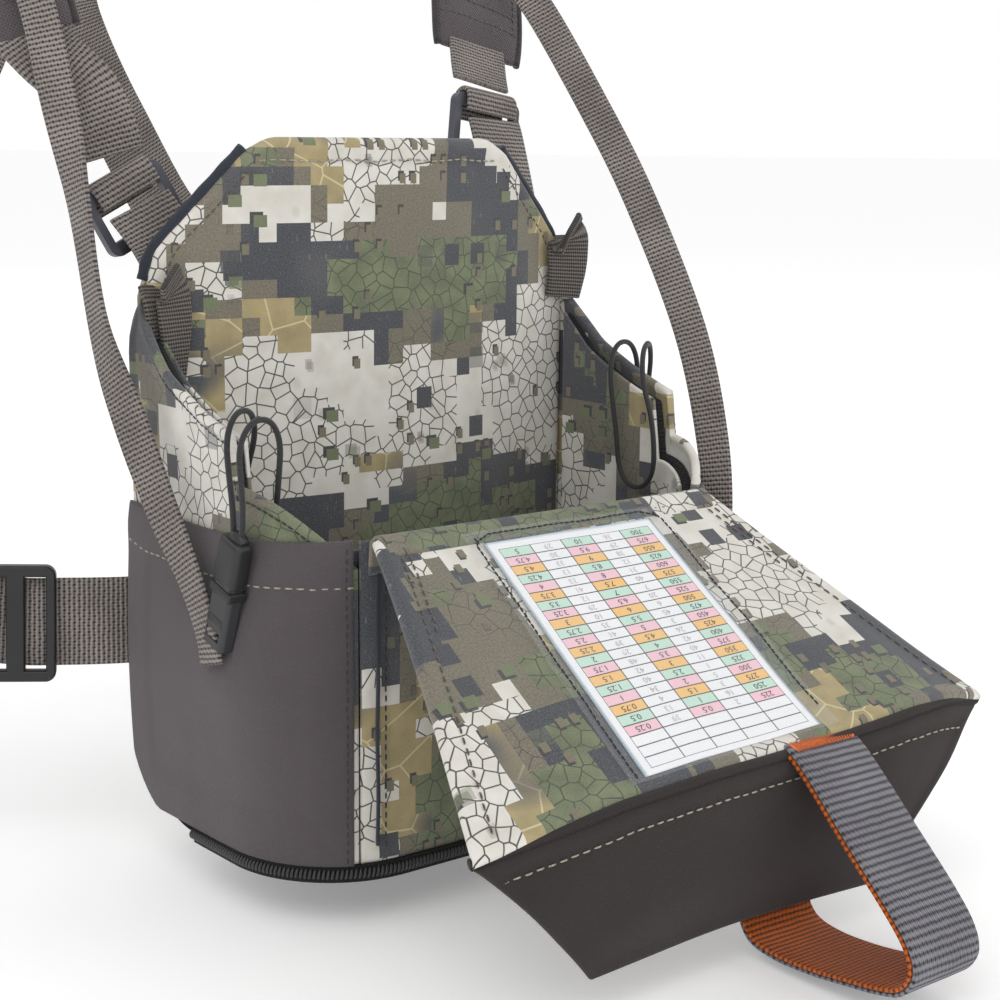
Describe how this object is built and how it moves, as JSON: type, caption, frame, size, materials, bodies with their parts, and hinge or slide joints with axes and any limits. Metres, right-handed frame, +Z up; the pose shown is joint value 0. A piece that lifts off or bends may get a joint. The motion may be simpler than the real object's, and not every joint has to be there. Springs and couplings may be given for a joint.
{
  "type": "binocular harness pack",
  "caption": "Chest pack for binoculars with a forward-opening lid, chart window, stretch side pockets, grab loop, tethers and a shoulder harness.",
  "frame": {"origin": "centre of the flat face of the chest pad that lies on the wearer's chest", "axes": "+Y out of the chest face towards the wearer, +Z up as worn, +X to the right as seen from the front"},
  "size_m": [0.2956, 0.4354, 0.3318],
  "materials": {
    "camo_fabric": "printed brushed polyester, cell and block camouflage",
    "stretch_fabric": "fine woven stretch fabric, dull",
    "flap_fabric": "fine twill, dull",
    "base_fabric": "coated woven fabric",
    "pad_fabric": "coarse twill",
    "spacer_mesh": "open spacer mesh over foam",
    "webbing": "ribbed woven webbing, warm grey",
    "orange_webbing": "woven tape, orange",
    "orange_thread": "dense zigzag stitching",
    "elastic": "ribbed woven elastic",
    "lining": "brushed lining",
    "foam": "closed-cell foam",
    "stiffener_board": "thin board",
    "chart_card": "printed card",
    "clear_film": "clear flexible film",
    "black_plastic": "moulded acetal",
    "black_metal": "black paint",
    "magnet_steel": "plated disc",
    "zip_tape": "woven zip tape",
    "zip_coil": "nylon coil",
    "cord": "thin braided cord"
  },
  "bodies": {
    "pack": {"back_panel": "camo_fabric", "back_stiffener": "stiffener_board", "panel_magnets": "magnet_steel", "chest_pad": "spacer_mesh", "front_panel": "camo_fabric", "side_panel_left": "camo_fabric", "side_panel_right": "camo_fabric", "base_panel": "base_fabric", "wall_foam": "foam", "compartment_lining": "lining", "side_pocket_left": "stretch_fabric", "side_pocket_right": "stretch_fabric", "zipper_tape": "zip_tape", "zipper_coil": "zip_coil", "elastic_tab_left": "elastic", "elastic_tab_right": "elastic", "back_yoke": "stretch_fabric", "anchor_webbing_left": "webbing", "webbing_fold_left": "webbing", "shoulder_webbing_left": "webbing", "shoulder_pad_left": "pad_fabric", "side_strap_left": "webbing", "tether_webbing_left": "webbing", "tether_socket_left": "black_plastic", "anchor_webbing_right": "webbing", "webbing_fold_right": "webbing", "shoulder_webbing_right": "webbing", "shoulder_pad_right": "pad_fabric", "side_strap_right": "webbing", "tether_webbing_right": "webbing", "tether_socket_right": "black_plastic"},
    "lid": {"lid_panel": "camo_fabric", "lid_stiffener": "stiffener_board", "chart_card": "chart_card", "window_film": "clear_film"},
    "flap": {"flap_panel": "flap_fabric", "flap_magnets": "magnet_steel"},
    "grab_loop": {"grab_loop_webbing": "webbing", "grab_loop_lining": "orange_webbing", "loop_bartack": "orange_thread"},
    "zipper_slider": {"zipper_slider": "black_metal"},
    "zipper_pull": {"zipper_pull": "black_metal"},
    "ladder_lock_left": {"ladder_lock_left": "black_plastic"},
    "side_triglide_left": {"side_triglide_left": "black_plastic"},
    "tether_plug_left": {"tether_plug_left": "black_plastic", "tether_cord_left": "cord"},
    "ladder_lock_right": {"ladder_lock_right": "black_plastic"},
    "side_triglide_right": {"side_triglide_right": "black_plastic"},
    "tether_plug_right": {"tether_plug_right": "black_plastic", "tether_cord_right": "cord"}
  },
  "joints": [
    {"name": "lid_hinge", "type": "hinge", "parent": "pack", "child": "lid", "pos_m": [0, -0.0935, 0.0035], "axis": [-1, 0, 0], "range_deg": [-38, 134]},
    {"name": "flap_fold", "type": "hinge", "parent": "lid", "child": "flap", "pos_m": [0, -0.175, -0.0414], "axis": [-1, 0, 0], "range_deg": [0, 122]},
    {"name": "grab_loop_swing", "type": "hinge", "parent": "flap", "child": "grab_loop", "pos_m": [0.02, -0.1772, -0.0468], "axis": [1, 0, 0], "range_deg": [-20, 55]},
    {"name": "zipper_slide", "type": "slide", "parent": "pack", "child": "zipper_slider", "axis": [0, -1, 0], "range_m": [0, 0.012]},
    {"name": "zipper_pull_swing", "type": "hinge", "parent": "zipper_slider", "child": "zipper_pull", "pos_m": [0.0829, -0.044, -0.0838], "axis": [0, 0, -1], "range_deg": [0, 170]},
    {"name": "ladder_lock_tilt_left", "type": "hinge", "parent": "pack", "child": "ladder_lock_left", "pos_m": [-0.0686, 0.0114, 0.0886], "axis": [0.8904, 0, 0.4552], "range_deg": [0, 25]},
    {"name": "ladder_lock_tilt_right", "type": "hinge", "parent": "pack", "child": "ladder_lock_right", "pos_m": [0.0632, 0.0142, 0.1126], "axis": [0.9854, 0, -0.1701], "range_deg": [0, 25]},
    {"name": "side_triglide_slide_left", "type": "slide", "parent": "pack", "child": "side_triglide_left", "axis": [-0.8641, 0.5024, 0.0301], "range_m": [-0.004, 0.008]},
    {"name": "side_triglide_slide_right", "type": "slide", "parent": "pack", "child": "side_triglide_right", "axis": [0.8641, 0.5024, 0.0301], "range_m": [-0.004, 0.008]},
    {"name": "tether_release_left", "type": "slide", "parent": "pack", "child": "tether_plug_left", "axis": [0.0131, -0.3024, 0.9531], "range_m": [0, 0.01]},
    {"name": "tether_release_right", "type": "slide", "parent": "pack", "child": "tether_plug_right", "axis": [-0.0096, 0.7385, 0.6742], "range_m": [0, 0.01]}
  ]
}
